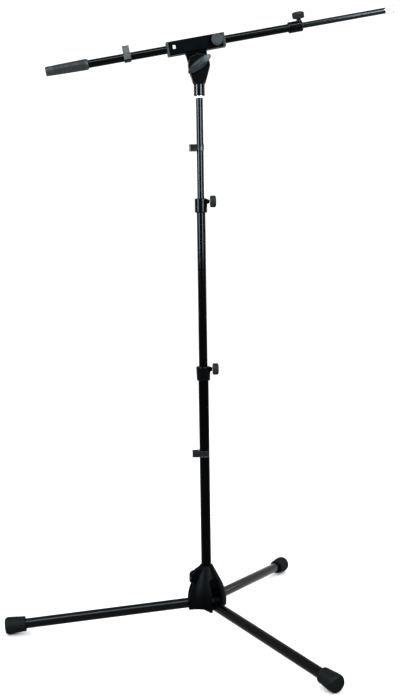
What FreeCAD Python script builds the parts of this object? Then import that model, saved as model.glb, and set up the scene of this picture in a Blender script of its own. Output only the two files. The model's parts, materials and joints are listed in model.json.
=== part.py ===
import FreeCAD, Part
import math
import os

# A boom microphone stand: three fold-up legs on a cast hub, a three-part telescopic pole, a tilting
# clamp head and a two-part telescopic boom with a counterweight. Millimetres, +Z up. The floor is
# z = 0, and the origin lies on it, in the middle of the stand's overall width.

Vec = FreeCAD.Vector
X, Y, Z = Vec(1, 0, 0), Vec(0, 1, 0), Vec(0, 0, 1)
ORIGIN = Vec(0, 0, 0)

# ---- driving dimensions -------------------------------------------------------------------------
POLE_X = 12.3                # the pole stands this far right of the origin
SLIDE_GAP = 0.1              # radial clearance where one tube slides in another
SNUG_GAP = 0.05              # radial clearance where two pieces stay together
SCREW_R, SCREW_GAP = 2.5, 0.1

# legs and hub
LEG_AZIMUTHS = {"left": 180.0, "rear": 60.0, "front": -60.0}
LEG_R, LEG_WALL = 10.0, 1.4
LEG_AXIS_Z, LEG_SLOPE = 54.4, 0.0951      # height of a leg's axis at the pole, and its fall per mm
LEG_START, LEG_END = 31.0, 375.0          # a leg tube's ends, measured out from the pole
HINGE_R, HINGE_Z = 26.5, 61.0             # a leg's hinge pin
PIN_R, PIN_HALF = 3.0, 15.1
SLOT_HALF, CHEEK = 10.7, 4.5
TONGUE_HALF, TONGUE_R = 9.0, 9.4
HUB_TOP, HUB_BOTTOM = 128.0, 40.5
LUG_AZIMUTH, LUG_HALF, LUG_SCREW_Z, LUG_TIP = 212.0, 6.5, 108.0, 40.5
SKIRT_BOTTOM = 47.5          # the hub's skirt between the legs stops this high
CAP_START, CAP_LENGTH, CAP_MOUTH_R, CAP_R = 361.7, 40.3, 15.0, 17.1

# pole
LOWER_R, MIDDLE_R, UPPER_R = 10.0, 8.5, 6.8
LOWER_Z = (46.0, 515.0)
MIDDLE_Z = (362.0, 842.0)
UPPER_Z = (700.0, 1045.0)
UPPER_WALL = 1.2
LOWER_COLLAR_Z, LOWER_SCREW_Z = (500.0, 528.0), 522.0
UPPER_COLLAR_Z, UPPER_SCREW_Z = (827.0, 854.6), 848.5
KNOB_R, KNOB_THICK = 11.5, 11.8
LOWER_CLIP_Z, UPPER_CLIP_Z, CLIP_WIDE = 354.2, 951.0, 13.0

# head and boom: s runs along the boom from the tilt pivot, n is square to it and upwards
PIVOT_Z, BOOM_ANGLE, BOOM_N = 1106.0, 9.7, 39.0
SOCKET_R, FORK_R, FORK_HALF, FORK_SLOT = 10.75, 21.0, 10.6, 5.0
FLARE_Z, FLARE_SLOPE = 1070.0, 0.65
STUD_R = 4.76                # 3/8 inch thread
BOLT_R = 4.0
HOUSING_S, HOUSING_N, HOUSING_HALF_Y = (-51.3, 52.0), (25.6, 51.8), 13.0
END_BUSH_S = (-55.2, 57.2)
LOCK_S, LOCK_KNOB_R = 41.0, 11.0
WING_LENGTH, WING_WIDE, WING_TURN = 54.0, 17.6, 38.5
BOOM_R, BOOM_WALL, INNER_R, INNER_WALL = 7.6, 1.5, 5.55, 1.15
BOOM_S, INNER_S = (-262.0, 197.0), (60.0, 370.5)
BOOM_COLLAR_S, BOOM_COLLAR_R, BOOM_SCREW_S, BOOM_SCREW_LEAN = (181.0, 209.0), 10.5, 203.0, 18.0
WEIGHT_S = (-288.3, -206.2)
BOOM_CLIP_S, BOOM_CLIP_LEAN = -131.2, 22.0
ADAPTOR_R, ADAPTOR_S = 7.94, (373.6, 389.7)      # 5/8 inch thread

nodes = {}


# ---- shape helpers ------------------------------------------------------------------------------
def outline(start, *steps):
    """A face in the XZ plane. A step is a point, or (middle, end) for an arc."""
    edges, here = [], Vec(start[0], 0, start[1])
    for step in steps + (start,):
        if isinstance(step[0], tuple):
            middle, end = (Vec(p[0], 0, p[1]) for p in step)
            edges.append(Part.Arc(here, middle, end).toShape())
        else:
            end = Vec(step[0], 0, step[1])
            if here.distanceToPoint(end) < 1e-6:
                continue
            edges.append(Part.makeLine(here, end))
        here = end
    return Part.Face(Part.Wire(edges))


def turned(start, *steps):
    """A body of revolution about Z, from an outline of (radius, height)."""
    return outline(start, *steps).revolve(ORIGIN, Z, 360)


def plate(half, start, *steps):
    """An outline in the XZ plane, made 2 x half thick about y = 0."""
    face = outline(start, *steps)
    face.translate(Vec(0, -half, 0))
    return face.extrude(Vec(0, 2 * half, 0))


def rod(radius, low, high, axis=Z, through=ORIGIN):
    """A cylinder round an axis, from low to high along it."""
    return Part.makeCylinder(radius, high - low, through + axis * low, axis)


def ring(outer, inner, low, high, axis=Z, through=ORIGIN):
    return rod(outer, low, high, axis, through).cut(rod(inner, low - 1, high + 1, axis, through))


def box(x, y, z):
    return Part.makeBox(x[1] - x[0], y[1] - y[0], z[1] - z[0], Vec(x[0], y[0], z[0]))


def hexagon(radius, low, high):
    points = [Vec(radius * math.cos(math.radians(a)), radius * math.sin(math.radians(a)), low)
              for a in range(0, 361, 60)]
    return Part.Face(Part.makePolygon(points)).extrude(Vec(0, 0, high - low))


def spun(shape, degrees, axis=Z, about=ORIGIN):
    shape = shape.copy()
    shape.rotate(about, axis, degrees)
    return shape


def moved(shape, vector):
    shape = shape.copy()
    shape.translate(vector)
    return shape


def along_x(shape):
    """Lay a body that stands on the Z axis along +X."""
    return spun(shape, 90, Y)


def along_y(shape, front=True):
    """Lay a body that stands on the Z axis along -Y, towards the front, or along +Y."""
    return spun(shape, 90 if front else -90, X)


def in_boom(shape):
    """Place a body drawn with s along X and n along Z, from the tilt pivot."""
    return moved(spun(shape, -BOOM_ANGLE, Y), Vec(0, 0, PIVOT_Z))


def on_boom_axis(shape):
    """Place a body that stands on the Z axis, with s as its height, on the boom's own axis."""
    return in_boom(moved(along_x(shape), Vec(0, 0, BOOM_N)))


def add(name, *solids):
    """Keep one node, moved to the frame's origin."""
    for solid in solids:
        assert solid.isValid() and len(solid.Solids) == 1, name
    shape = solids[0] if len(solids) == 1 else Part.makeCompound(list(solids))
    nodes[name] = moved(shape, Vec(POLE_X, 0, 0))


# ---- parts that are used more than once ---------------------------------------------------------
def knob(radius=KNOB_R, thick=KNOB_THICK):
    """A round hand knob on the Z axis, its inner face at z = 0, with a blind hole for its screw."""
    edge, dome, skirt = 1.8, 0.9, 0.6
    body = turned((0, skirt), (radius - 3.5, skirt), (radius - 3.5, 0), (radius - 0.8, 0),
                  (radius, edge), (radius, thick - edge - dome),
                  ((radius - 0.5, thick - dome - 0.5), (radius - edge, thick - dome)),
                  ((radius / 2 + 0.5, thick - 0.2), (2.5, thick)), (0, thick))
    return body.cut(rod(SCREW_R + SNUG_GAP, -1, 7.2))


def clutch_parts(tube_r, knob_start, knob_radius=KNOB_R):
    """The pad, screw and knob of a clutch that grips a tube of this radius, along Z."""
    pad_low = tube_r + SLIDE_GAP
    pad = rod(SCREW_R, pad_low, pad_low + 2.0)
    screw = rod(SCREW_R, pad_low + 2.1, knob_start + 7.0)
    return pad, screw, moved(knob(knob_radius), Vec(0, 0, knob_start))


def clutch_collar(radii, heights, tube_r, tube_top, inner_r, screw_z, boss):
    """A clutch collar: it sits on a tube, guides the next one, and carries its screw along +X."""
    (bottom_r, top_r), (low, high) = radii, heights
    body = turned((inner_r + SLIDE_GAP, high), (top_r - 1.6, high), (top_r, high - 1.4),
                  (bottom_r, low + 1.0), (bottom_r - 0.8, low), (tube_r + SNUG_GAP, low),
                  (tube_r + SNUG_GAP, tube_top + 0.2), (inner_r + SLIDE_GAP, tube_top + 0.2))
    boss_start = tube_r + 1.5
    cone = Part.makeCone(boss[0], boss[1], boss[2] - boss_start, Vec(boss_start, 0, screw_z), X)
    hole = rod(SCREW_R + SCREW_GAP, 0, boss[2] + 5, X, Vec(0, 0, screw_z))
    return body.fuse(cone).cut(hole).removeSplitter()


def cable_clip(tube_r):
    """A snap-on cable clip for a tube on the Z axis. Its cable loop stands out along -X."""
    wall, reach, half, inner = 1.8, 14.15, 7.5, tube_r + SNUG_GAP
    top = inner + reach
    band = ring(inner + wall, inner, -CLIP_WIDE / 2, CLIP_WIDE / 2)
    gap = outline((0, -half), (2 * inner, -inner - 8), (2 * inner, inner + 8), (0, half))
    gap = moved(spun(gap, -90, X), Vec(0, 0, -CLIP_WIDE)).extrude(Vec(0, 0, 2 * CLIP_WIDE))
    band = band.cut(moved(gap, Vec(inner * 0.35, 0, 0)))
    loop = box((-top, 0), (-half, half), (-CLIP_WIDE / 2, CLIP_WIDE / 2))
    corners = [e for e in loop.Edges if e.BoundBox.ZLength > 1 and e.BoundBox.XMax < -1]
    loop = loop.makeFillet(3.0, corners)
    room = box((-top + wall, -inner - wall), (-half + wall, half - wall), (-CLIP_WIDE, CLIP_WIDE))
    corners = [e for e in room.Edges if e.BoundBox.ZLength > 1]
    room = room.makeFillet(1.6, corners)
    body = loop.cut(room).cut(rod(inner, -CLIP_WIDE, CLIP_WIDE))
    return body.fuse(band).removeSplitter()


def guide_bush(sliding_r, plug_r, tube_end, flange, plug):
    """The plastic bush in the lower end of a sliding tube that stands on the Z axis."""
    body = turned((0, tube_end - flange), (sliding_r - 0.6, tube_end - flange),
                  (sliding_r, tube_end - flange + 0.8), (sliding_r, tube_end - 0.1),
                  (plug_r, tube_end - 0.1), (plug_r, tube_end + plug), (0, tube_end + plug))
    return body.cut(rod(2.5, tube_end - flange - 1, tube_end + plug + 1))


# ---- hub and legs -------------------------------------------------------------------------------
def hub():
    """The cast cone that holds the pole, with a slot for each leg and ribbed underneath."""
    bore = LOWER_R + SNUG_GAP
    body = turned((bore, HUB_TOP), (13.0, HUB_TOP), (31.0, 93.0), ((37.0, 76.0), (39.7, 55.0)),
                  (38.9, HUB_BOTTOM), (bore, HUB_BOTTOM))
    lug = plate(LUG_HALF, (8, 127.0), (13.0, 127.0), (LUG_TIP - 13.0, 121.5),
                ((LUG_TIP - 3.4, 116.8), (LUG_TIP, 108.5)),
                ((LUG_TIP - 2.0, 100.0), (LUG_TIP - 8.5, 94.5)), (24.0, 88.0), (8, 88.0))
    nose = rod(LUG_HALF + 1, 0, 200, Z, Vec(LUG_TIP - LUG_HALF - 1, 0, 0))
    nose = nose.fuse(box((0, LUG_TIP - LUG_HALF - 1), (-9, 9), (0, 200)))
    lug = spun(lug.common(nose), LUG_AZIMUTH)
    body = body.fuse(lug).cut(rod(bore, 0, 200))
    pocket = turned((16, 30), (34.4, 30), (35.2, 55), (32.4, 76), (26.0, 93), (16, 98))
    arch = ring(60, 16.4, 30, SKIRT_BOTTOM)
    half = SLOT_HALF + CHEEK
    for azimuth in LEG_AZIMUTHS.values():
        cheeks = spun(box((0, 60), (-half, half), (20, 110)), azimuth)
        pocket, arch = pocket.cut(cheeks), arch.cut(cheeks)
    body = body.cut(pocket).cut(arch)
    slot = plate(SLOT_HALF, (16.4, 30), (60, 30), (60, 140), (24.8, 140), (24.8, 86), (16.4, 78))
    pin_hole = rod(PIN_R + SNUG_GAP, -20, 20, Y, Vec(HINGE_R, 0, HINGE_Z))
    for azimuth in LEG_AZIMUTHS.values():
        body = body.cut(spun(slot, azimuth)).cut(spun(pin_hole, azimuth))
    hole = spun(rod(3.05, 8, 60, X, Vec(0, 0, LUG_SCREW_Z)), LUG_AZIMUTH)
    return body.cut(hole).removeSplitter()


def in_leg(shape):
    """Place a body drawn with Z along a leg's axis, measured from the pole, in the plane y = 0."""
    slope = math.degrees(math.atan(LEG_SLOPE))
    return moved(spun(shape, 90 + slope, Y), Vec(0, 0, LEG_AXIS_Z))


def leg_length(radius):
    """How far along a leg's axis a distance from the pole is."""
    return radius * math.sqrt(1 + LEG_SLOPE ** 2)


def leg_tube():
    return in_leg(ring(LEG_R, LEG_R - LEG_WALL, leg_length(LEG_START), leg_length(LEG_END)))


def leg_tongue():
    """The hinge end of a leg: a plug in the tube, and a rounded head on the hinge pin."""
    start = leg_length(LEG_START)
    plug = in_leg(rod(LEG_R - LEG_WALL - SNUG_GAP, start - 1, start + 24))
    drop = math.atan(LEG_SLOPE)
    shoulder_x = LEG_START + 0.9
    floor_z = LEG_AXIS_Z - LEG_SLOPE * LEG_START - 9.4 * math.cos(drop)
    left = (HINGE_R - TONGUE_R * math.cos(0.35), HINGE_Z - TONGUE_R * math.sin(0.35))
    head = plate(TONGUE_HALF, left, (shoulder_x, floor_z), (shoulder_x, HINGE_Z + 7.5),
                 (HINGE_R, HINGE_Z + TONGUE_R - 0.2))
    head = head.fuse(rod(TONGUE_R, -TONGUE_HALF, TONGUE_HALF, Y, Vec(HINGE_R, 0, HINGE_Z)))
    head = head.cut(in_leg(rod(LEG_R + 0.25, start - 0.05, start + 40)))
    hole = rod(PIN_R + SNUG_GAP, -20, 20, Y, Vec(HINGE_R, 0, HINGE_Z))
    return head.fuse(plug).cut(hole).removeSplitter()


def foot_cap():
    """A flared rubber cap, closed and rounded at its outer end, and worn flat where it stands."""
    low, bore = leg_length(CAP_START), LEG_R + SNUG_GAP
    high, seat = low + CAP_LENGTH, leg_length(LEG_END) + 0.1
    body = turned((0, seat), (bore, seat), (bore, low), (CAP_MOUTH_R - 0.8, low),
                  (CAP_MOUTH_R, low + 0.8), ((CAP_R - 0.6, low + 16), (CAP_R, high - 8)),
                  ((CAP_R - 1.6, high - 2.6), (12.5, high)), (0, high))
    return in_leg(body).cut(box((0, 600), (-60, 60), (-60, 0)))


def build_base():
    add("leg_hub", hub())
    screw = rod(3.0, LOWER_R + SNUG_GAP, LUG_TIP - 2.0).cut(hexagon(1.75, LUG_TIP - 6, LUG_TIP))
    add("tube_lock_screw", spun(moved(along_x(screw), Vec(0, 0, LUG_SCREW_Z)), LUG_AZIMUTH))
    low, inner = LOWER_Z[0], MIDDLE_R + SLIDE_GAP - SNUG_GAP
    add("pole_end_plug", turned((0, low - 3), (LOWER_R - 1, low - 3), (LOWER_R - 0.1, low - 2),
                                (LOWER_R - 0.1, low - 0.1), (inner, low - 0.1), (inner, low + 9),
                                (0, low + 9)))
    pin = rod(PIN_R, -PIN_HALF, PIN_HALF, Y, Vec(HINGE_R, 0, HINGE_Z))
    add("leg_hinge_pins", *[spun(pin, a) for a in LEG_AZIMUTHS.values()])
    washers = [ring(6.2, PIN_R + 0.2, side, side + 1.4, Y, Vec(HINGE_R, 0, HINGE_Z))
               for side in (TONGUE_HALF + 0.1, -TONGUE_HALF - 1.5)]
    add("leg_friction_washers", *[spun(w, a) for a in LEG_AZIMUTHS.values() for w in washers])
    for name, azimuth in LEG_AZIMUTHS.items():
        add("leg_tube_" + name, spun(leg_tube(), azimuth))
        add("leg_tongue_" + name, spun(leg_tongue(), azimuth))
        add("foot_cap_" + name, spun(foot_cap(), azimuth))


# ---- pole ---------------------------------------------------------------------------------------
def build_clutch(prefix, tube_r, screw_z, knob_start):
    for part, shape in zip(("pad", "screw", "knob"), clutch_parts(tube_r, knob_start)):
        add(prefix + "_clutch_" + part, moved(along_x(shape), Vec(0, 0, screw_z)))


def build_pole():
    middle_in, upper_in = UPPER_R + SLIDE_GAP, UPPER_R - UPPER_WALL
    add("lower_tube", ring(LOWER_R, MIDDLE_R + SLIDE_GAP, *LOWER_Z))
    add("middle_tube", ring(MIDDLE_R, middle_in, *MIDDLE_Z))
    add("upper_tube", ring(UPPER_R, upper_in, *UPPER_Z))
    add("middle_guide_bush", guide_bush(MIDDLE_R + SNUG_GAP, middle_in - SNUG_GAP, MIDDLE_Z[0], 6, 16))
    add("upper_guide_bush", guide_bush(UPPER_R + SNUG_GAP, upper_in - SNUG_GAP, UPPER_Z[0], 6, 16))
    collar = clutch_collar((13.2, 14.15), LOWER_COLLAR_Z, LOWER_R, LOWER_Z[1], MIDDLE_R,
                           LOWER_SCREW_Z, (6.0, 3.6, 17.4))
    add("lower_collar", collar)
    collar = clutch_collar((12.3, 12.3), UPPER_COLLAR_Z, MIDDLE_R, MIDDLE_Z[1], UPPER_R,
                           UPPER_SCREW_Z, (5.9, 3.6, 16.2))
    add("upper_collar", collar)
    build_clutch("lower", MIDDLE_R, LOWER_SCREW_Z, 18.4)
    build_clutch("upper", UPPER_R, UPPER_SCREW_Z, 17.8)
    add("lower_cable_clip", moved(cable_clip(LOWER_R), Vec(0, 0, LOWER_CLIP_Z)))
    add("upper_cable_clip", moved(cable_clip(UPPER_R), Vec(0, 0, UPPER_CLIP_Z)))
    top, plug = UPPER_Z[1], upper_in - SNUG_GAP
    add("top_stud", turned((0, top - 20), (plug, top - 20), (plug, top), (7.3, top), (7.5, top + 0.4),
                           (7.5, top + 3.1), (7.2, top + 3.5), (STUD_R, top + 3.5),
                           (STUD_R, top + 17), (STUD_R - 1, top + 18), (0, top + 18)))


# ---- boom head ----------------------------------------------------------------------------------
def swivel_fork():
    """The turned socket that screws on the pole, flared and milled into a fork for the tongue."""
    low = UPPER_Z[1] + 3.7
    flare_r = SOCKET_R + FLARE_SLOPE * (PIVOT_Z - FLARE_Z)
    top = PIVOT_Z + FORK_R + 5
    body = turned((0, low), (SOCKET_R - 0.5, low), (SOCKET_R, low + 0.5), (SOCKET_R, FLARE_Z),
                  (flare_r, PIVOT_Z), (flare_r, top), (0, top))
    # the flanks run from the socket's edge to a tangent on the round top
    foot = (SOCKET_R, FLARE_Z - 3 - PIVOT_Z)
    reach = math.hypot(*foot)
    turn = math.atan2(foot[1], foot[0]) + math.acos(FORK_R / reach)
    touch = (FORK_R * math.cos(turn), FORK_R * math.sin(turn))
    shape = plate(FORK_HALF + 2, (-SOCKET_R, low - PIVOT_Z - 1), (SOCKET_R, low - PIVOT_Z - 1), foot,
                  touch, ((0, FORK_R), (-touch[0], touch[1])), (-foot[0], foot[1]))
    shape = moved(shape, Vec(0, 0, PIVOT_Z))
    flats = box((-50, 50), (-FORK_HALF, FORK_HALF), (FLARE_Z, top + 1))
    lathe = box((-50, 50), (-50, 50), (low - 1, FLARE_Z))
    body = body.common(shape).common(flats.fuse(lathe))
    slot = box((-50, 50), (-FORK_SLOT, FORK_SLOT), (PIVOT_Z - 22.5, top + 1))
    bolt_hole = rod(BOLT_R + SLIDE_GAP, -30, 30, Y, Vec(0, 0, PIVOT_Z))
    thread_hole = rod(STUD_R + 0.09, low - 1, UPPER_Z[1] + 20)
    return body.cut(slot).cut(bolt_hole).cut(thread_hole).removeSplitter()


def rounded_block(s, edge):
    """The housing's section, with its long edges rounded, from s[0] to s[1]."""
    block = box(s, (-HOUSING_HALF_Y, HOUSING_HALF_Y), HOUSING_N)
    return block.makeFillet(edge, [e for e in block.Edges if e.BoundBox.XLength > 1])


def clamp_housing():
    """The clamp block, bored for the boom, with the tongue that stands in the fork."""
    body = rounded_block(HOUSING_S, 3.0)
    under = HOUSING_N[0]
    root = box((-21.4, 19.4), (-FORK_HALF, FORK_HALF), (22.0, under + 1))
    root = root.cut(rod(FORK_R + 0.7, -20, 20, Y))
    tongue = plate(4.0, (-19.3, 0), ((0, -19.5), (19.3, 0)), (19.4, under + 1), (-21.4, under + 1))
    body = body.fuse(root).fuse(tongue)
    axis_point = Vec(0, 0, BOOM_N)
    body = body.cut(rod(BOOM_R + SLIDE_GAP, -80, 80, X, axis_point))
    for low, high in ((-60.0, LOCK_S - 7), (LOCK_S + 5.5, 60.0)):
        body = body.cut(rod(10.0, low, high, X, axis_point))
    body = body.cut(rod(BOLT_R + SLIDE_GAP, -30, 30, Y))
    screw_hole = rod(SCREW_R + SCREW_GAP, -30, 0, Y, Vec(LOCK_S, 0, BOOM_N))
    return body.cut(screw_hole).removeSplitter()


def end_bush(face, seat, plug):
    """A plastic bush at one end of the housing, from its outer face to its plug's inner end."""
    inwards = 1 if seat > face else -1
    body = rounded_block(sorted((face, seat)), 2.4)
    body = body.fuse(rod(9.9, *sorted((seat - inwards, plug)), X, Vec(0, 0, BOOM_N)))
    return body.cut(rod(BOOM_R + SLIDE_GAP, -80, 80, X, Vec(0, 0, BOOM_N))).removeSplitter()


def wing_grip():
    """The long grip on the tilt bolt, drawn standing on the Z axis with its seat at z = 12.5."""
    hub_part = turned((0, 12.5), (7.6, 12.5), (8.2, 13.2), (7.4, 18.0), (0, 18.0))
    half, wide = WING_LENGTH / 2, WING_WIDE / 2
    tip = half - 3.2
    wing = plate(4.5, (-tip, -3.9), ((0, -wide), (tip, -3.9)), ((half, 0), (tip, 3.9)),
                 ((0, wide), (-tip, 3.9)), ((-half, 0), (-tip, -3.9)))
    wing = moved(spun(wing, 90, X), Vec(0, 0, 20.5))
    wing = wing.common(rod(11.0, -half - 5, half + 5, X, Vec(0, 0, 14.0)))
    wing = spun(wing.common(rod(80.0, -20, 20, Y, Vec(0, 0, -55.0))), WING_TURN)
    return hub_part.fuse(wing).cut(rod(BOLT_R + SNUG_GAP, 0, 20.2)).removeSplitter()


def build_head():
    pivot = Vec(0, 0, PIVOT_Z)
    add("swivel_fork", swivel_fork())
    add("clamp_housing", in_boom(clamp_housing()))
    add("rear_end_bush", in_boom(end_bush(END_BUSH_S[0], HOUSING_S[0], HOUSING_S[0] + 9)))
    add("front_end_bush", in_boom(end_bush(END_BUSH_S[1], HOUSING_S[1], HOUSING_S[1] - 5)))
    badge = box((-2.6, 2.6), (-0.6, 0), (-3.5, 3.5))
    corners = [e for e in badge.Edges if e.BoundBox.YLength > 0.5]
    badge = moved(badge.makeFillet(0.8, corners), Vec(-41.0, -HOUSING_HALF_Y, BOOM_N + 1.0))
    add("blank_badge", in_boom(badge))
    add("tilt_bolt", rod(BOLT_R, -20.0, 18.0, Y, pivot))
    nut = hexagon(7.5, FORK_HALF + 0.05, FORK_HALF + 6.5)
    nut = nut.cut(rod(BOLT_R + SLIDE_GAP, 0, 30))
    add("tilt_nut", moved(along_y(nut, front=False), pivot))
    add("tilt_washer", ring(8.5, BOLT_R + 0.2, -12.4, -FORK_HALF - 0.1, Y, pivot))
    sides = ((4.1, FORK_SLOT - 0.1), (-FORK_SLOT + 0.1, -4.1))
    add("tilt_friction_washers", *[ring(14.0, BOLT_R + 0.2, a, b, Y, pivot) for a, b in sides])
    add("wing_grip", moved(along_y(wing_grip()), pivot))
    for part, shape in zip(("pad", "screw", "knob"), clutch_parts(BOOM_R, 15.4, LOCK_KNOB_R)):
        shape = moved(along_y(shape), Vec(LOCK_S, 0, BOOM_N))
        add("boom_lock_" + part, in_boom(shape))


# ---- boom ---------------------------------------------------------------------------------------
def counterweight():
    """The tapered weight, with a smooth rear band, bored for the tube."""
    low, high = WEIGHT_S
    body = turned((0, low), (7.6, low), ((8.6, low + 0.6), (8.9, low + 1.6)), (9.1, low + 13.0),
                  (9.5, low + 14.0), (10.7, high - 4.0), (9.2, high), (0, high))
    body = body.cut(rod(BOOM_R + SNUG_GAP, BOOM_S[0] - 4, high + 1))
    return body.cut(rod(SCREW_R + SCREW_GAP, 0, 20, Y, Vec(0, 0, -226.0)))


def build_boom():
    add("boom_outer_tube", on_boom_axis(ring(BOOM_R, BOOM_R - BOOM_WALL, *BOOM_S)))
    add("counterweight", on_boom_axis(counterweight()))
    grub = rod(SCREW_R, BOOM_R + SNUG_GAP, 10.0).cut(hexagon(1.4, 8.6, 11))
    grub = moved(along_y(grub, front=False), Vec(-226.0, 0, BOOM_N))
    add("weight_set_screw", in_boom(grub))
    low, plug = BOOM_S[0], BOOM_R - BOOM_WALL - SNUG_GAP
    add("boom_end_plug", on_boom_axis(turned((0, low - 2.5), (BOOM_R - 0.3, low - 2.5),
                                             (BOOM_R - 0.3, low - 0.1), (plug, low - 0.1),
                                             (plug, low + 9), (0, low + 9))))
    collar = clutch_collar((BOOM_COLLAR_R, BOOM_COLLAR_R), BOOM_COLLAR_S, BOOM_R, BOOM_S[1], INNER_R,
                           BOOM_SCREW_S, (5.4, 3.6, 14.0))
    # the collar's screw points along X, which stands for downwards once the boom lies along X
    add("boom_collar", on_boom_axis(spun(collar, 180 + BOOM_SCREW_LEAN)))
    for part, shape in zip(("pad", "screw", "knob"), clutch_parts(INNER_R, 14.6)):
        shape = moved(along_x(shape), Vec(0, 0, BOOM_SCREW_S))
        add("boom_clutch_" + part, on_boom_axis(spun(shape, 180 + BOOM_SCREW_LEAN)))
    inner_in, end = INNER_R - INNER_WALL, INNER_S[1]
    add("boom_inner_tube", on_boom_axis(ring(INNER_R, inner_in, *INNER_S)))
    slide_r = BOOM_R - BOOM_WALL - SNUG_GAP
    add("boom_guide_bush", on_boom_axis(guide_bush(slide_r, inner_in - SNUG_GAP, INNER_S[0], 6, 14)))
    plug = inner_in - SNUG_GAP
    add("end_stud", on_boom_axis(turned((0, end - 18), (plug, end - 18), (plug, end), (7.5, end),
                                        (7.7, end + 0.4), (7.7, end + 2.6), (7.4, end + 3.0),
                                        (STUD_R, end + 3.0), (STUD_R, end + 16), (0, end + 16))))
    low, high = ADAPTOR_S
    adaptor = turned((STUD_R + SNUG_GAP, low), (ADAPTOR_R - 0.4, low), (ADAPTOR_R, low + 0.4),
                     (ADAPTOR_R, high - 0.7), (ADAPTOR_R - 0.7, high), (STUD_R + SNUG_GAP, high))
    adaptor = adaptor.cut(box((-20, 20), (-0.9, 0.9), (high - 1.4, high + 1)))
    add("mic_adaptor", on_boom_axis(adaptor))
    clip = moved(cable_clip(BOOM_R), Vec(0, 0, BOOM_CLIP_S))
    add("boom_cable_clip", on_boom_axis(spun(clip, -BOOM_CLIP_LEAN)))


def main():
    build_base()
    build_pole()
    build_head()
    build_boom()
    os.makedirs("parts", exist_ok=True)
    for name, shape in nodes.items():
        shape.exportStep(os.path.join("parts", name + ".step"))
    print(len(nodes), "nodes")


main()
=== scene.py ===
"""A boom microphone stand, built as visible pieces around its CAD frame. Sizes are in metres."""
import json
import math

import bmesh
import bpy
from bpy.props import FloatProperty, FloatVectorProperty, IntProperty, PointerProperty
from mathutils import Matrix, Vector

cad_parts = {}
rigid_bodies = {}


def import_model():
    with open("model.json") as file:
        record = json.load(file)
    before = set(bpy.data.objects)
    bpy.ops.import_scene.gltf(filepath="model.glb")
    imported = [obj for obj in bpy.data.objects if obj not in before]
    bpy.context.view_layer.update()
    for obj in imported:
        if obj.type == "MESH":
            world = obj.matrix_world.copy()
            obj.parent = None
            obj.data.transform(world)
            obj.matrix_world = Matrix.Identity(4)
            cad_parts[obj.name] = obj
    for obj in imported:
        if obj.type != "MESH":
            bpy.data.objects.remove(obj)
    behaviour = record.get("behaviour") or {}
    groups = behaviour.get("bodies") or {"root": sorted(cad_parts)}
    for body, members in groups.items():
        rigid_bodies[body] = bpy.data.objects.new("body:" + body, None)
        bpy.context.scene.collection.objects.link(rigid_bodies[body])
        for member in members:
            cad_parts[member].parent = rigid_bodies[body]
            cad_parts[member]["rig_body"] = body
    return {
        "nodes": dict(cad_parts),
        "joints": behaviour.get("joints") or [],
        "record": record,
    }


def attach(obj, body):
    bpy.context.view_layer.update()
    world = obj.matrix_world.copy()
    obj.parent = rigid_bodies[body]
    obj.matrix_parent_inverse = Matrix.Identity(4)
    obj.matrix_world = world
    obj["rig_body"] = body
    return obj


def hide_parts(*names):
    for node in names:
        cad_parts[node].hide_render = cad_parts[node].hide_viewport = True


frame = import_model()

bl_info = {
    "name": "Boom microphone stand",
    "version": (1, 0, 0),
    "blender": (4, 5, 0),
    "location": "View3D > Sidebar > Mic stand",
    "description": "Builds the visible pieces of a boom microphone stand around its CAD frame",
    "category": "Add Mesh",
}

MM = 0.001
JOINTS = {joint["name"]: joint for joint in frame["joints"]}
PIVOT = Vector(JOINTS["tilt_boom"]["pos_m"])
POLE = Vector((PIVOT.x, 0.0, 0.0))
BOOM_DIR = Vector(JOINTS["slide_boom"]["axis"]).normalized()
BOOM_UP = Vector((-BOOM_DIR.z, 0.0, BOOM_DIR.x))
BOOM_OVER_PIVOT = 39 * MM
BOOM_AXIS = PIVOT + BOOM_UP * BOOM_OVER_PIVOT
FRONT = Vector((0.0, -1.0, 0.0))
UP = Vector((0.0, 0.0, 1.0))
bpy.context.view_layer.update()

# the radius of each tube, and the stand's other driving sizes, in mm
LOWER_R, MIDDLE_R, UPPER_R = 10.0, 8.5, 6.8
BOOM_R, INNER_R = 7.6, 5.55
LEG_R, LEG_START, LEG_END = 10.0, 31.0, 375.0
LEG_SLOPE, LEG_AXIS_HEIGHT = 0.0951, 54.4
CAP_START, CAP_LENGTH = 361.7, 40.3
KNOB_R, LOCK_KNOB_R, KNOB_THICK = 11.5, 11.0, 11.8
BOOM_CLIP_LEAN = math.radians(22)


# ---- sizes and colours a user would change ------------------------------------------------------
def length(name, text, value):
    return FloatProperty(name=name, description=text, default=value, unit="LENGTH", precision=5)


def colour(name, text, value):
    return FloatVectorProperty(name=name, description=text, default=value, subtype="COLOR", size=3,
                               min=0.0, max=1.0)


class StageSettings(bpy.types.PropertyGroup):
    floor_colour: colour("Floor", "Colour of the floor", (0.97, 0.97, 0.97))
    floor_radius: length("Floor radius", "How far the floor runs from the pole", 9.0)
    daylight: FloatProperty(name="Daylight", description="Strength of the even light all round",
                            default=1.2, min=0.0)
    camera_height: length("Camera height", "Height of the camera over the floor", 0.7956)
    camera_back: length("Camera distance", "How far in front of the pole the camera is", 2.1584)
    camera_side: length("Camera side", "How far left of the pole the camera is", 0.1410)
    camera_heading: FloatProperty(name="Heading", description="Camera turn to the right",
                                  default=math.radians(3.579), unit="ROTATION")
    camera_pitch: FloatProperty(name="Pitch", description="How far the camera looks down",
                                default=math.radians(6.163), unit="ROTATION")
    camera_roll: FloatProperty(name="Roll", description="Camera roll about its own view line",
                               default=math.radians(-0.865), unit="ROTATION")
    camera_lens: FloatProperty(name="Lens", description="Focal length in mm on a 36 mm sensor",
                               default=57.249)


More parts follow.
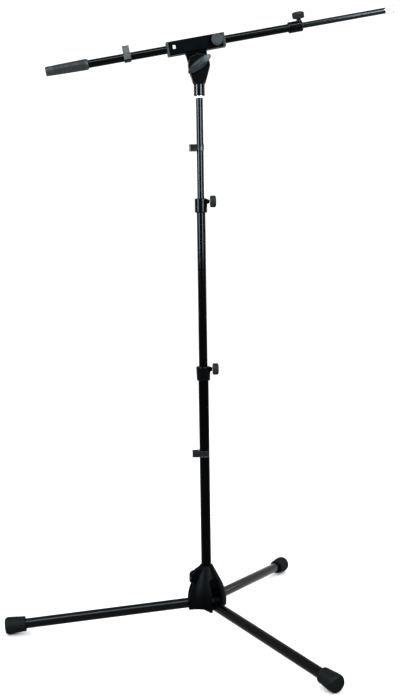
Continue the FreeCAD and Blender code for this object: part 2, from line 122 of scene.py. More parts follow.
class EnamelSettings(bpy.types.PropertyGroup):
    black: colour("Black", "Colour of the enamel on the tubes", (0.0004, 0.0005, 0.0007))
    cast_black: colour("Cast black", "Colour of the enamel on the castings", (0.0006, 0.0008, 0.0012))
    roughness: FloatProperty(name="Roughness", description="How blurred the enamel's shine is",
                             default=0.12, min=0.0, max=1.0)


class KnobSettings(bpy.types.PropertyGroup):
    ribs: IntProperty(name="Ribs", description="Grip ribs round each knob", default=32, min=8, max=64)
    rib_size: length("Rib size", "Width of one grip rib", 1.5 * MM)
    plastic: colour("Plastic", "Colour of the knobs", (0.0055, 0.0065, 0.0072))


class WeightSettings(bpy.types.PropertyGroup):
    columns: IntProperty(name="Columns", description="Knurl points round the weight", default=32,
                         min=12, max=90)
    rows: IntProperty(name="Rows", description="Knurl rows along the weight", default=60, min=8, max=90)
    depth: length("Depth", "Height of one knurl point", 0.55 * MM)


class ThreadSettings(bpy.types.PropertyGroup):
    adaptor_pitch: length("Adaptor pitch", "Pitch of the microphone thread", 0.94 * MM)
    screw_pitch: length("Screw pitch", "Pitch of the clutch screws", 0.8 * MM)


GROUPS = (("stand_stage", StageSettings), ("stand_enamel", EnamelSettings),
          ("stand_knobs", KnobSettings), ("stand_weight", WeightSettings),
          ("stand_threads", ThreadSettings))


# ---- mesh helpers -------------------------------------------------------------------------------
def place(point, axis, hint=None):
    """A matrix that puts a piece drawn on the Z axis at a point, along an axis."""
    z = axis.normalized()
    hint = hint or (FRONT if abs(z.dot(FRONT)) < 0.9 else UP)
    y = z.cross(hint).normalized()
    x = y.cross(z)
    return Matrix.Translation(point) @ Matrix((x, y, z)).transposed().to_4x4()


def soften(points, steps=5, closed=True):
    """Round the corners of a flat outline. A point is (a, b) or (a, b, how much to round)."""
    out = []
    count = len(points)
    for i, point in enumerate(points):
        here = Vector(point[:2])
        size = point[2] if len(point) > 2 else 0.0
        if not size or (not closed and i in (0, count - 1)):
            out.append(here)
            continue
        before, after = Vector(points[i - 1][:2]), Vector(points[(i + 1) % count][:2])
        start = here + (before - here).normalized() * min(size, (before - here).length * 0.49)
        end = here + (after - here).normalized() * min(size, (after - here).length * 0.49)
        for k in range(steps + 1):
            t = k / steps
            out.append(start * (1 - t) ** 2 + here * 2 * t * (1 - t) + end * t ** 2)
    return out


def new_object(name, mesh):
    piece = bpy.data.objects.new(name, mesh)
    bpy.context.scene.collection.objects.link(piece)
    return piece


def finish_mesh(bm, name, matrix=None, smooth_angle=38.0):
    """Turn a bmesh into a smooth-shaded mesh with its faces outwards, put in its place."""
    bmesh.ops.remove_doubles(bm, verts=bm.verts, dist=2e-6)
    bmesh.ops.recalc_face_normals(bm, faces=bm.faces)
    if matrix:
        bmesh.ops.transform(bm, matrix=matrix, verts=bm.verts)
    mesh = bpy.data.meshes.new(name)
    bm.to_mesh(mesh)
    bm.free()
    mesh.shade_smooth()
    mesh.set_sharp_from_angle(angle=math.radians(smooth_angle))
    return mesh


def lathe(profile, segments):
    """A closed body of revolution about Z, from a closed outline of (radius, height) in mm."""
    bm = bmesh.new()
    rings = []
    for radius, height in profile:
        if radius < 1e-5:
            rings.append([bm.verts.new((0, 0, height * MM))] * segments)
            continue
        turns = (math.tau * k / segments for k in range(segments))
        rings.append([bm.verts.new((radius * math.cos(a) * MM, radius * math.sin(a) * MM,
                                    height * MM)) for a in turns])
    for i, low in enumerate(rings):
        high = rings[(i + 1) % len(rings)]
        for k in range(segments):
            corners = [low[k], low[(k + 1) % segments], high[(k + 1) % segments], high[k]]
            corners = list(dict.fromkeys(corners))
            if len(corners) > 2 and not (low[0] is low[1] and high[0] is high[1]):
                bm.faces.new(corners)
    return bm


def swept(bm, path, section):
    """Sweep a closed section of (sideways, up) along a flat path in the XY plane, in mm."""
    rings = []
    last = len(path) - 1
    for i, point in enumerate(path):
        along = (path[min(i + 1, last)] - path[max(i - 1, 0)]).normalized()
        side = Vector((along.y, -along.x))
        rings.append([bm.verts.new(((point.x + side.x * a) * MM, (point.y + side.y * a) * MM,
                                    b * MM)) for a, b in section])
    for one, two in zip(rings, rings[1:]):
        for k in range(len(section)):
            n = (k + 1) % len(section)
            bm.faces.new((one[k], one[n], two[n], two[k]))
    bm.faces.new(rings[0])
    bm.faces.new(list(reversed(rings[-1])))


def applied(piece):
    """Apply every modifier to the piece's mesh."""
    graph = bpy.context.evaluated_depsgraph_get()
    mesh = bpy.data.meshes.new_from_object(piece.evaluated_get(graph), depsgraph=graph)
    piece.modifiers.clear()
    piece.data = mesh
    return piece


# ---- material helpers ---------------------------------------------------------------------------
class Finish:
    """A procedural material on Object coordinates."""

    def __init__(self, name, colour_value, roughness, metallic=0.0, specular=0.5):
        self.material = bpy.data.materials.new(name)
        self.material.use_nodes = True
        self.tree = self.material.node_tree
        self.shader = self.tree.nodes["Principled BSDF"]
        for socket, value in (("Base Color", (*colour_value, 1.0)), ("Roughness", roughness),
                              ("Metallic", metallic), ("Specular IOR Level", specular)):
            self.shader.inputs[socket].default_value = value
        self.where = self.tree.nodes.new("ShaderNodeTexCoord").outputs["Object"]
        self.normal = None

    def node(self, kind, **settings):
        node = self.tree.nodes.new(kind)
        for key, value in settings.items():
            if key in node.inputs:
                node.inputs[key].default_value = value
            else:
                setattr(node, key, value)
        return node

    def link(self, output, target):
        self.tree.links.new(output, target)

    def mapped(self, scale):
        node = self.node("ShaderNodeMapping")
        node.inputs["Scale"].default_value = scale
        self.link(self.where, node.inputs["Vector"])
        return node.outputs["Vector"]

    def noise(self, scale, detail=3.0, rough=0.55, vector=None):
        node = self.node("ShaderNodeTexNoise", Scale=scale, Detail=detail, Roughness=rough)
        self.link(vector or self.where, node.inputs["Vector"])
        return node.outputs["Fac"]

    def ramp(self, fac, stops):
        node = self.node("ShaderNodeValToRGB")
        elements = node.color_ramp.elements
        while len(elements) < len(stops):
            elements.new(0.5)
        for element, (place_at, value) in zip(elements, stops):
            element.position = place_at
            value = value if isinstance(value, tuple) else (value, value, value)
            element.color = (*value, 1.0)
        self.link(fac, node.inputs["Fac"])
        return node.outputs["Color"]

    def mix(self, fac, first, second):
        node = self.node("ShaderNodeMix", data_type="RGBA")
        for socket, value in ((0, fac), (6, first), (7, second)):
            if isinstance(value, bpy.types.NodeSocket):
                self.link(value, node.inputs[socket])
            elif socket:
                node.inputs[socket].default_value = (*value, 1.0)
            else:
                node.inputs[socket].default_value = value
        return node.outputs[2]

    def scaled(self, fac, low, high):
        node = self.node("ShaderNodeMapRange")
        self.link(fac, node.inputs["Value"])
        node.inputs["To Min"].default_value = low
        node.inputs["To Max"].default_value = high
        return node.outputs["Result"]

    def colour_from(self, output):
        self.link(output, self.shader.inputs["Base Color"])

    def roughness_from(self, fac, low, high):
        self.link(self.scaled(fac, low, high), self.shader.inputs["Roughness"])

    def bump(self, height, distance):
        """Add relief, this many metres deep."""
        node = self.node("ShaderNodeBump", Strength=1.0, Distance=distance)
        self.link(height, node.inputs["Height"])
        if self.normal:
            self.link(self.normal, node.inputs["Normal"])
        self.normal = node.outputs["Normal"]
        self.link(self.normal, self.shader.inputs["Normal"])

    def worn_edges(self, colour_value):
        """Rub the colour through on outward edges of a dense mesh."""
        point = self.node("ShaderNodeNewGeometry").outputs["Pointiness"]
        rub = self.ramp(point, ((0.53, 0.0), (0.62, 1.0)))
        patch = self.ramp(self.noise(140.0, 4.0), ((0.42, 0.0), (0.62, 1.0)))
        both = self.node("ShaderNodeMath", operation="MULTIPLY")
        self.link(rub, both.inputs[0])
        self.link(patch, both.inputs[1])
        base = self.shader.inputs["Base Color"]
        under = base.links[0].from_socket if base.links else tuple(base.default_value)[:3]
        self.colour_from(self.mix(both.outputs[0], under, colour_value))


def enamel(name, tint, roughness, peel=0.0000005, stretch=None, specular=0.03):
    """Stoved gloss enamel: faint orange peel, rubbed patches and a little settled dust."""
    finish = Finish(name, tint, roughness, specular=specular)
    rub = finish.noise(38.0, 5.0, 0.6, finish.mapped(stretch) if stretch else None)
    finish.roughness_from(finish.ramp(rub, ((0.35, 0.0), (0.72, 1.0))), roughness * 0.88,
                          roughness * 1.22)
    dust = finish.ramp(finish.noise(900.0, 2.0), ((0.72, 0.0), (0.80, 1.0)))
    speck = finish.mix(dust, tint, tuple(min(1.0, c * 2 + 0.002) for c in tint))
    finish.colour_from(speck)
    finish.bump(finish.noise(520.0, 3.0), peel)
    return finish


def cast_enamel(name, tint, roughness, specular=0.025):
    """Enamel over a sand-textured die casting, worn bright on its edges."""
    finish = enamel(name, tint, roughness, peel=0.000006, specular=specular)
    finish.bump(finish.noise(1500.0, 4.0), 0.000010)
    finish.bump(finish.noise(70.0, 2.0), 0.00003)
    finish.worn_edges((0.018, 0.020, 0.023))
    return finish


def moulded(name, tint, roughness, grain=1800.0, depth=0.00002, specular=0.03):
    """Spark-eroded plastic: fine even grain with slightly polished high spots."""
    finish = Finish(name, tint, roughness, specular=specular)
    fine = finish.noise(grain, 2.0)
    broad = finish.noise(60.0, 4.0)
    light = tuple(min(1.0, c * 1.35 + 0.002) for c in tint)
    finish.colour_from(finish.mix(finish.ramp(broad, ((0.35, 0.0), (0.7, 1.0))), tint, light))
    finish.roughness_from(broad, roughness - 0.08, roughness + 0.1)
    finish.bump(fine, depth)
    return finish


def bright_metal(name, tint, roughness, stretch=(1, 1, 0.08), metallic=1.0):
    """Nickel or bare steel with fine turning marks."""
    finish = Finish(name, tint, roughness, metallic=metallic)
    lines = finish.noise(900.0, 3.0, 0.6, finish.mapped(stretch))
    finish.roughness_from(lines, max(0.05, roughness - 0.08), roughness + 0.1)
    stain = finish.ramp(finish.noise(120.0, 4.0), ((0.4, 0.0), (0.75, 1.0)))
    finish.colour_from(finish.mix(stain, tint, tuple(c * 0.78 for c in tint)))
    finish.bump(lines, 0.000008)
    return finish


# ---- geometry node helpers ----------------------------------------------------------------------
class Tree:
    """A geometry node tree with named inputs."""

    def __init__(self, name, **inputs):
        self.group = bpy.data.node_groups.new(name, "GeometryNodeTree")
        self.ids = {}
        face = self.group.interface
        face.new_socket("Geometry", in_out="INPUT", socket_type="NodeSocketGeometry")
        kinds = {int: "NodeSocketInt", float: "NodeSocketFloat", bpy.types.Material: "NodeSocketMaterial"}
        for key, kind in inputs.items():
            label = key.replace("_", " ").capitalize()
            socket = face.new_socket(label, in_out="INPUT", socket_type=kinds[kind])
            self.ids[key] = socket.identifier
        face.new_socket("Geometry", in_out="OUTPUT", socket_type="NodeSocketGeometry")
        self.inside = self.group.nodes.new("NodeGroupInput")
        self.out = self.group.nodes.new("NodeGroupOutput")
        self.names = {key: key.replace("_", " ").capitalize() for key in inputs}

    def __getitem__(self, key):
        return self.inside.outputs[self.names.get(key, key)]

    def node(self, kind, links=None, **settings):
        node = self.group.nodes.new("GeometryNode" + kind if not kind.startswith("Shader")
                                    and not kind.startswith("Function") else kind)
        for key, value in settings.items():
            if hasattr(node, key):
                setattr(node, key, value)
            else:
                node.inputs[key].default_value = value
        for socket, source in (links or {}).items():
            self.group.links.new(source, node.inputs[socket])
        return node

    def math(self, operation, first, second=0.0):
        node = self.group.nodes.new("ShaderNodeMath")
        node.operation = operation
        for socket, value in zip(node.inputs, (first, second)):
            if isinstance(value, bpy.types.NodeSocket):
                self.group.links.new(value, socket)
            else:
                socket.default_value = value
        return node.outputs[0]

    def end(self, geometries):
        join = self.group.nodes.new("GeometryNodeJoinGeometry")
        for geometry in geometries:
            self.group.links.new(geometry, join.inputs[0])
        real = self.node("RealizeInstances", {"Geometry": join.outputs[0]})
        paint = self.node("SetMaterial", {"Geometry": real.outputs[0], "Material": self["material"]})
        self.group.links.new(paint.outputs[0], self.out.inputs[0])
        return self

    def grow(self, piece, **values):
        """Run the tree on a piece and keep the result as its plain mesh."""
        modifier = piece.modifiers.new(self.group.name, "NODES")
        modifier.node_group = self.group
        for key, value in values.items():
            modifier[self.ids[key]] = value
        return applied(piece)


def rib_ring_tree():
    """Half-round grip ribs standing round a knob."""
    tree = Tree("Grip ribs", count=int, radius=float, rib_radius=float, rib_length=float,
                height=float, material=bpy.types.Material)
    circle = tree.node("MeshCircle", {"Vertices": tree["count"], "Radius": tree["radius"]})
    lift = tree.group.nodes.new("ShaderNodeCombineXYZ")
    tree.group.links.new(tree["height"], lift.inputs["Z"])
    ring = tree.node("Transform", {"Geometry": circle.outputs[0], "Translation": lift.outputs[0]})
    rib = tree.node("MeshCylinder", {"Radius": tree["rib_radius"], "Depth": tree["rib_length"]},
                    Vertices=10)
    ribs = tree.node("InstanceOnPoints", {"Points": ring.outputs[0], "Instance": rib.outputs[0]})
    return tree.end((ribs.outputs[0], tree["Geometry"]))


def knurl_tree():
    """Rows of small four-sided points round a tapered bar that lies on the Z axis."""
    tree = Tree("Diamond knurl", columns=int, rows=int, start_radius=float, end_radius=float,
                length=float, start=float, depth=float, material=bpy.types.Material)
    total = tree.math("MULTIPLY", tree["columns"], tree["rows"])
    points = tree.node("Points", {"Count": total})
    index = tree.node("InputIndex").outputs[0]
    row = tree.math("FLOOR", tree.math("DIVIDE", tree.math("ADD", index, 0.5), tree["columns"]))
    column = tree.math("SUBTRACT", index, tree.math("MULTIPLY", row, tree["columns"]))
    odd = tree.math("MULTIPLY", tree.math("MODULO", row, 2.0), 0.5)
    turn = tree.math("MULTIPLY", tree.math("DIVIDE", tree.math("ADD", column, odd),
                                           tree["columns"]), math.tau)
    along = tree.math("DIVIDE", tree.math("ADD", row, 0.5), tree["rows"])
    grow = tree.math("MULTIPLY", along, tree.math("SUBTRACT", tree["end_radius"],
                                                  tree["start_radius"]))
    radius = tree.math("ADD", tree["start_radius"], grow)
    spot = tree.group.nodes.new("ShaderNodeCombineXYZ")
    tree.group.links.new(tree.math("MULTIPLY", radius, tree.math("COSINE", turn)), spot.inputs["X"])
    tree.group.links.new(tree.math("MULTIPLY", radius, tree.math("SINE", turn)), spot.inputs["Y"])
    height = tree.math("ADD", tree["start"], tree.math("MULTIPLY", along, tree["length"]))
    tree.group.links.new(height, spot.inputs["Z"])
    placed = tree.node("SetPosition", {"Geometry": points.outputs[0], "Position": spot.outputs[0]})
    outward = tree.group.nodes.new("ShaderNodeCombineXYZ")
    tree.group.links.new(tree.math("COSINE", turn), outward.inputs["X"])
    tree.group.links.new(tree.math("SINE", turn), outward.inputs["Y"])
    aim = tree.group.nodes.new("FunctionNodeAlignRotationToVector")
    aim.axis = "Z"
    tree.group.links.new(outward.outputs[0], aim.inputs["Vector"])
    steady = tree.group.nodes.new("FunctionNodeAlignRotationToVector")
    steady.axis = "X"
    steady.pivot_axis = "Z"
    steady.inputs["Vector"].default_value = (0, 0, 1)
    tree.group.links.new(aim.outputs[0], steady.inputs["Rotation"])
    # a point's base just meets its neighbours', and half its height is sunk in the bar
    pitch = tree.math("DIVIDE", tree.math("MULTIPLY", tree["start_radius"], math.tau),
                      tree["columns"])
    cone = tree.node("MeshCone", {"Radius Bottom": tree.math("MULTIPLY", pitch, 0.56),
                                  "Depth": tree.math("MULTIPLY", tree["depth"], 2.0),
                                  "Radius Top": tree.math("MULTIPLY", pitch, 0.08)}, Vertices=4)
    sunk = tree.group.nodes.new("ShaderNodeCombineXYZ")
    tree.group.links.new(tree.math("MULTIPLY", tree["depth"], -1.0), sunk.inputs["Z"])
    low = tree.node("Transform", {"Geometry": cone.outputs[0], "Translation": sunk.outputs[0]})
    spikes = tree.node("InstanceOnPoints", {"Points": placed.outputs[0], "Instance": low.outputs[0],
                                            "Rotation": steady.outputs[0]})
    return tree.end((spikes.outputs[0], tree["Geometry"]))


def thread_tree():
    """A helical ridge round a screw that stands on the Z axis."""
    tree = Tree("Screw thread", turns=float, radius=float, height=float, start=float, ridge=float,
                material=bpy.types.Material)
    helix = tree.node("CurveSpiral", {"Rotations": tree["turns"], "Start Radius": tree["radius"],
                                      "End Radius": tree["radius"], "Height": tree["height"]},
                      Resolution=40)
    lift = tree.group.nodes.new("ShaderNodeCombineXYZ")
    tree.group.links.new(tree["start"], lift.inputs["Z"])
    raised = tree.node("Transform", {"Geometry": helix.outputs[0], "Translation": lift.outputs[0]})
    ridge = tree.node("CurvePrimitiveCircle", {"Radius": tree["ridge"]}, Resolution=4)
    sweep = tree.node("CurveToMesh", {"Curve": raised.outputs[0], "Profile Curve": ridge.outputs[0]})
    sweep.inputs["Fill Caps"].default_value = True
    return tree.end((sweep.outputs[0], tree["Geometry"]))


# ---- stage --------------------------------------------------------------------------------------
def area_light(name, spot, aim, size, power, tint, shine_only):
    light = bpy.data.lights.new(name, "AREA")
    light.shape = "RECTANGLE"
    light.size, light.size_y = size
    light.energy = power
    light.color = tint
    lamp = bpy.data.objects.new(name, light)
    bpy.context.scene.collection.objects.link(lamp)
    # the size's second value is the side that stands upright
    turn = Matrix.Rotation(math.pi / 2, 4, "Z")
    lamp.matrix_world = place(Vector(spot), Vector(spot) - Vector(aim), UP) @ turn
    lamp.visible_camera = False
    lamp.visible_diffuse = not shine_only


class MICSTAND_OT_stage(bpy.types.Operator):
    """Make the floor, the lights and the camera"""
    bl_idname = "micstand.stage"
    bl_label = "Stage"

    def execute(self, context):
        settings = context.scene.stand_stage
        scene = context.scene
        scene.view_settings.view_transform = "Standard"
        self.camera(scene, settings)
        self.floor(settings)
        self.daylight(scene, settings)
        head = (PIVOT.x, 0, 0.95)
        cool, white = (0.74, 0.92, 1.0), (1, 1, 1)
        # the cool ones show only as shine on the enamel and don't light the floor
        for name, spot, aim, size, power, tint in (
                ("Left strip", (-1.9, -1.20, 1.6), head, (0.95, 1.6), 620, cool),
                ("Right strip", (1.15, -1.75, 1.6), head, (0.85, 1.6), 560, cool),
                ("Overhead strip", (-0.1, -1.5, 2.7), (0, 0, 1.0), (2.6, 0.5), 290, cool),
                ("Key light", (-1.2, -1.8, 2.2), (0, 0, 0.8), (1.0, 1.0), 22, white),
                ("Rear left strip", (-1.6, 1.9, 1.2), head, (0.3, 1.6), 30, white),
                ("Rear right strip", (1.9, 1.1, 1.2), head, (0.3, 1.6), 30, white)):
            area_light(name, spot, aim, size, power, tint, shine_only=tint is cool)
        return {"FINISHED"}

    def camera(self, scene, settings):
        data = bpy.data.cameras.new("Camera")
        data.sensor_width = 36.0
        data.lens = settings.camera_lens
        camera = bpy.data.objects.new("Camera", data)
        scene.collection.objects.link(camera)
        turn, drop = settings.camera_heading, settings.camera_pitch
        look = Vector((math.sin(turn) * math.cos(drop), math.cos(turn) * math.cos(drop),
                       -math.sin(drop)))
        level = Vector((math.cos(turn), -math.sin(turn), 0.0))
        above = level.cross(look)
        roll = settings.camera_roll
        right = level * math.cos(roll) + above * math.sin(roll)
        above = above * math.cos(roll) - level * math.sin(roll)
        spot = POLE + Vector((-settings.camera_side, -settings.camera_back, settings.camera_height))
        turn_to = Matrix((right, above, -look)).transposed().to_4x4()
        camera.matrix_world = Matrix.Translation(spot) @ turn_to
        scene.camera = camera

    def floor(self, settings):
        paint = Finish("Floor paper", settings.floor_colour, 0.9, specular=0.1)
        paint.bump(paint.noise(300.0, 3.0), 0.00004)
        for name, inner, outer in (("Floor", 0.0, 0.95), ("Floor surround", 0.95,
                                                          settings.floor_radius)):
            bm = bmesh.new()
            turns = [math.tau * k / 96 for k in range(96)]
            rim = [bm.verts.new((math.cos(a) * outer, math.sin(a) * outer, 0)) for a in turns]
            if inner:
                hole = [bm.verts.new((math.cos(a) * inner, math.sin(a) * inner, 0)) for a in turns]
                for k in range(96):
                    n = (k + 1) % 96
                    bm.faces.new((hole[k], rim[k], rim[n], hole[n]))
            else:
                bm.faces.new(rim)
            mesh = bpy.data.meshes.new(name)
            bm.to_mesh(mesh)
            bm.free()
            mesh.materials.append(paint.material)
            floor = new_object(name, mesh)

    def daylight(self, scene, settings):
        world = bpy.data.worlds.new("Daylight")
        scene.world = world
        world.use_nodes = True
        sky = world.node_tree.nodes["Background"]
        sky.inputs["Color"].default_value = (1, 1, 1, 1)
        sky.inputs["Strength"].default_value = settings.daylight


# ---- finishes of the CAD nodes ------------------------------------------------------------------
def make_finishes(scene):
    """Every finish, by the record's slot name."""
    settings = scene.stand_enamel
    black, cast, rough = tuple(settings.black), tuple(settings.cast_black), settings.roughness
    plastic = tuple(scene.stand_knobs.plastic)
    along_pole = (1, 1, 0.03)
    found = {
        "lower_tube_enamel": enamel("Lower tube enamel", black, rough, stretch=along_pole, specular=0.012),
        "middle_tube_enamel": enamel("Middle tube enamel", black, rough, stretch=along_pole, specular=0.02),
        "upper_tube_enamel": enamel("Upper tube enamel", black, rough, stretch=along_pole, specular=0.035),
        "leg_enamel": enamel("Leg enamel", black, rough * 1.6, specular=0.05),
        "boom_enamel": enamel("Boom enamel", black, rough),
        "boom_inner_enamel": enamel("Inner boom enamel", (0.006, 0.008, 0.008), rough * 1.3),
        "lower_collar_enamel": cast_enamel("Lower collar enamel", cast, rough * 1.2),
        "upper_collar_enamel": cast_enamel("Upper collar enamel", cast, rough * 1.2),
        "boom_collar_enamel": cast_enamel("Boom collar enamel", cast, rough * 1.2),
        "hub_enamel": cast_enamel("Hub enamel", cast, rough * 3.6, 0.006),
        "fork_enamel": cast_enamel("Fork enamel", cast, rough * 1.1, 0.045),
        "housing_enamel": cast_enamel("Housing enamel", cast, rough * 3.0, 0.006),
        "wing_zinc": cast_enamel("Wing enamel", (0.016, 0.019, 0.023), 0.36, 0.03),
        "weight_enamel": cast_enamel("Weight finish", (0.025, 0.027, 0.029), 0.40, 0.04),
        "foot_rubber": moulded("Foot rubber", (0.0025, 0.0032, 0.0036), 0.6, 1400.0, 0.00003, 0.015),
        "knob_plastic": moulded("Knob plastic", plastic, 0.48),
        "lock_knob_plastic": moulded("Lock knob plastic", (0.025, 0.032, 0.033), 0.5),
        "clip_plastic": moulded("Clip plastic", (0.0045, 0.005, 0.0055), 0.25, specular=0.06),
        # the boom clip's light grey colour, far lighter than the pole clips', is a painted sheen for the
        # light its upturned face catches
        "boom_clip_plastic": moulded("Boom clip plastic painted sheen", (0.062, 0.066, 0.068), 0.35),
        "end_bush_plastic": moulded("End bush plastic", (0.028, 0.034, 0.032), 0.42),
        "inner_plastic": moulded("Inner plastic", (0.012, 0.012, 0.013), 0.5),
        "fibre": moulded("Friction fibre", (0.020, 0.014, 0.012), 0.7, 900.0),
        "badge_film": moulded("Badge film", (0.58, 0.60, 0.62), 0.3, 2500.0, 0.000005),
        "nickel": bright_metal("Nickel", (0.80, 0.81, 0.81), 0.22, metallic=0.8),
        "adaptor_nickel": bright_metal("Adaptor nickel", (0.68, 0.69, 0.69), 0.26, metallic=0.9),
        "hinge_pin_steel": bright_metal("Hinge pin steel", (0.035, 0.036, 0.04), 0.4),
        "screw_steel": bright_metal("Screw steel", (0.42, 0.42, 0.43), 0.3),
        "blackened_steel": bright_metal("Blackened steel", (0.06, 0.06, 0.065), 0.35),
        "tongue_steel": enamel("Tongue enamel", black, rough * 1.6),
        "brass_pad": bright_metal("Brass", (0.62, 0.45, 0.20), 0.35),
    }
    return {slot: finish.material for slot, finish in found.items()}


FINISHES = {}


class MICSTAND_OT_finishes(bpy.types.Operator):
    """Make the finishes and give every CAD node its own"""
    bl_idname = "micstand.finishes"
    bl_label = "Finishes"

    def execute(self, context):
        FINISHES.update(make_finishes(context.scene))
        for part in frame["record"]["subparts"]:
            mesh = frame["nodes"][part["node"]].data
            mesh.materials.clear()
            mesh.materials.append(FINISHES[part["material_slot"]])
        return {"FINISHED"}


# ---- pieces -------------------------------------------------------------------------------------
POLE_FRAME = place(POLE, UP, Vector((1, 0, 0)))
BOOM_FRAME = place(BOOM_AXIS, BOOM_DIR, -BOOM_UP)
LEG_DROP = math.atan(LEG_SLOPE)
LEG_NAMES = ("left", "rear", "front")


def leg_frame(name):
    """Put a piece drawn along Z on a leg's axis, with Z measured from the pole."""
    hinge = Vector(JOINTS["fold_leg_" + name]["axis"])
    out = UP.cross(hinge).normalized()
    along = out * math.cos(LEG_DROP) - UP * math.sin(LEG_DROP)
    return place(POLE + UP * LEG_AXIS_HEIGHT * MM, along, UP)


def slot_of_node(node):
    for part in frame["record"]["subparts"]:
        if part["node"] == node:
            return part["material_slot"]
    raise KeyError(node)


def settle(piece, node):
    """Show a finished piece in place of a CAD node, with that node's body and finish."""
    slot = slot_of_node(node)
    piece.data.materials.clear()
    piece.data.materials.append(FINISHES[slot])
    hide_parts(node)
    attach(piece, frame["nodes"][node]["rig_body"])


def stand_for(node, mesh):
    settle(new_object(node + "_shown", mesh), node)


def tube_mesh(name, outer, inner, low, high, matrix):
    profile = soften([(inner, low), (outer, low, 0.5), (outer, high, 0.5), (inner, high)])
    return finish_mesh(lathe(profile, 72), name, matrix)


class MICSTAND_OT_tubes(bpy.types.Operator):
    """Draw the pole's, the legs' and the boom's tubes, with rounded ends"""
    bl_idname = "micstand.tubes"
    bl_label = "Tubes"

    def execute(self, context):
        for node, outer, inner, low, high, matrix in (
                ("lower_tube", LOWER_R, 8.6, 46.0, 515.0, POLE_FRAME),
                ("middle_tube", MIDDLE_R, 6.9, 362.0, 842.0, POLE_FRAME),
                ("upper_tube", UPPER_R, 5.6, 700.0, 1045.0, POLE_FRAME),
                ("boom_outer_tube", BOOM_R, 6.1, -262.0, 197.0, BOOM_FRAME),
                ("boom_inner_tube", INNER_R, 4.4, 60.0, 370.5, BOOM_FRAME)):
            stand_for(node, tube_mesh(node, outer, inner, low, high, matrix))
        stretch = 1 / math.cos(LEG_DROP)
        for leg in LEG_NAMES:
            node = "leg_tube_" + leg
            stand_for(node, tube_mesh(node, LEG_R, 8.6, LEG_START * stretch, LEG_END * stretch,
                                      leg_frame(leg)))
        return {"FINISHED"}


def drop_crumbs(mesh, fewest=100):
    """Delete the specks of a few corners that an even skin can leave inside a wall."""
    bm = bmesh.new()
    bm.from_mesh(mesh)
    left, crumbs = set(bm.verts), []
    while left:
        island, found = [], [left.pop()]
        while found:
            vert = found.pop()
            island.append(vert)
            beside = {edge.other_vert(vert) for edge in vert.link_edges} & left
            left -= beside
            found.extend(beside)
        if len(island) < fewest:
            crumbs.extend(island)
    bmesh.ops.delete(bm, geom=crumbs, context="VERTS")
    bm.to_mesh(mesh)
    bm.free()


def cast_copy(node, voxel, smooth):
    """A copy of a CAD node's mesh with every edge rounded as a casting's is."""
    bm = bmesh.new()
    bm.from_mesh(frame["nodes"][node].data)
    bmesh.ops.remove_doubles(bm, verts=bm.verts, dist=2e-6)
    mesh = bpy.data.meshes.new(node + "_cast")
    bm.to_mesh(mesh)
    bm.free()
    piece = new_object(node + "_cast", mesh)
    remesh = piece.modifiers.new("Even skin", "REMESH")
    remesh.mode = "VOXEL"
    remesh.voxel_size = voxel * MM
    remesh.use_smooth_shade = True
    rounding = piece.modifiers.new("Rounding", "SMOOTH")
    rounding.factor = 0.5
    rounding.iterations = smooth
    applied(piece)
    drop_crumbs(piece.data)
    piece.data.shade_smooth()
    settle(piece, node)


class MICSTAND_OT_castings(bpy.types.Operator):
    """Round the edges of the hub, the fork, the clamp housing and the collars"""
    bl_idname = "micstand.castings"
    bl_label = "Castings"

    def execute(self, context):
        for node, voxel, smooth in (("leg_hub", 0.8, 5), ("swivel_fork", 0.4, 14),
                                    ("clamp_housing", 0.6, 3), ("lower_collar", 0.4, 3),
                                    ("upper_collar", 0.4, 3), ("boom_collar", 0.35, 3),
                                    ("wing_grip", 0.35, 10), ("rear_end_bush", 0.4, 3),
                                    ("front_end_bush", 0.4, 3)):
            cast_copy(node, voxel, smooth)
        for leg in LEG_NAMES:
            cast_copy("leg_tongue_" + leg, 0.5, 3)
        return {"FINISHED"}


class MICSTAND_OT_foot_caps(bpy.types.Operator):
    """Turn the flared rubber foot caps, worn flat where they stand"""
    bl_idname = "micstand.foot_caps"
    bl_label = "Foot caps"

    def execute(self, context):
        stretch = 1 / math.cos(LEG_DROP)
        low = CAP_START * stretch
        high, seat = low + CAP_LENGTH, LEG_END * stretch + 0.1
        profile = soften([(0, seat), (10.05, seat), (10.05, low, 0.3), (14.6, low, 0.9),
                          (15.1, low + 3.4, 0.9), (14.75, low + 4.4, 0.5), (15.3, low + 9.0, 3.0),
                          (16.5, high - 17.0, 6.0), (17.1, high - 8.5, 3.0), (16.9, high - 4.0, 2.5),
                          (14.2, high, 2.6), (12.6, high, 0.5), (12.2, high - 1.1, 0.6),
                          (0, high - 1.3)], 6)
        for leg in LEG_NAMES:
            node = "foot_cap_" + leg
            bm = lathe(profile, 112)
            bmesh.ops.transform(bm, matrix=leg_frame(leg), verts=bm.verts)
            for vert in bm.verts:
                vert.co.z = max(vert.co.z, 0.0)
            stand_for(node, finish_mesh(bm, node))
        return {"FINISHED"}


